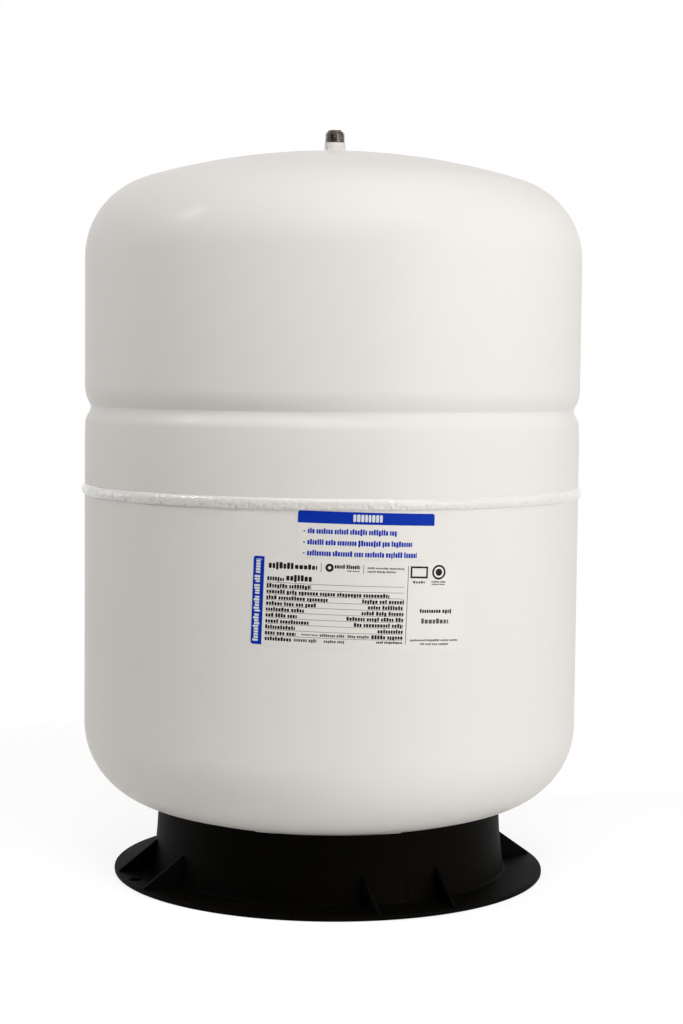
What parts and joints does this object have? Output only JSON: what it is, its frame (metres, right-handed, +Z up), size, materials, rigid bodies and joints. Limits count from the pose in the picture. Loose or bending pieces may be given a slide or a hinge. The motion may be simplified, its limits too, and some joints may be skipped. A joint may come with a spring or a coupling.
{
  "type": "reverse osmosis water storage tank",
  "caption": "Upright white steel pressure tank with domed ends, a threaded inlet nipple on top, an air valve below and a black moulded stand.",
  "frame": {"origin": "on the floor, at the centre of the stand's foot, on the tank's axis", "axes": "+Z up along the tank's axis towards the inlet nipple, -Y towards the front with the labels, +X to the right seen from the front"},
  "size_m": [0.336, 0.336, 0.4992],
  "materials": {
    "white_paint": "glossy powder coat",
    "stainless": "turned",
    "zinc_steel": "zinc plated",
    "brass": "turned",
    "rubber": "matte",
    "liner_plastic": "matte",
    "stand_plastic": "moulded, satin",
    "cap_plastic": "moulded",
    "label_film": "printed film"
  },
  "bodies": {
    "tank": {"upper_shell": "white_paint", "lower_shell": "white_paint", "seam_weld": "white_paint", "inlet_nipple": "stainless", "inlet_seal": "rubber", "clench_ring": "zinc_steel", "liner": "liner_plastic", "diaphragm": "rubber", "stand": "stand_plastic", "upper_label": "label_film", "lower_label": "label_film", "valve_boss": "zinc_steel", "valve_stem": "brass", "valve_stem_seal": "rubber", "valve_core_barrel": "brass", "valve_core_gasket": "rubber", "valve_core_spring_cup": "brass", "valve_core_spring": "stainless"},
    "valve_pin": {"valve_core_pin": "brass", "valve_core_seal": "rubber"},
    "cap_seal": {"valve_cap_seal": "rubber"},
    "valve_cap": {"valve_cap": "cap_plastic"}
  },
  "joints": [
    {"name": "pin_travel", "type": "slide", "parent": "tank", "child": "valve_pin", "axis": [0, 0, 1], "range_m": [0, 0.0015], "stiffness_N_per_m": 400, "springref_m": -0.002, "deforming": ["valve_core_spring"]},
    {"name": "cap_lift", "type": "slide", "parent": "tank", "child": "cap_seal", "axis": [0, 0, -1], "range_m": [0, 0.00476]},
    {"name": "cap_turn", "type": "hinge", "parent": "cap_seal", "child": "valve_cap", "pos_m": [0, 0, 0.0141], "axis": [0, 0, -1], "range_deg": [0, 2160]}
  ],
  "couplings": [
    {"joint": "cap_turn", "follows": "cap_lift", "rad_per_m": 7915.8}
  ]
}
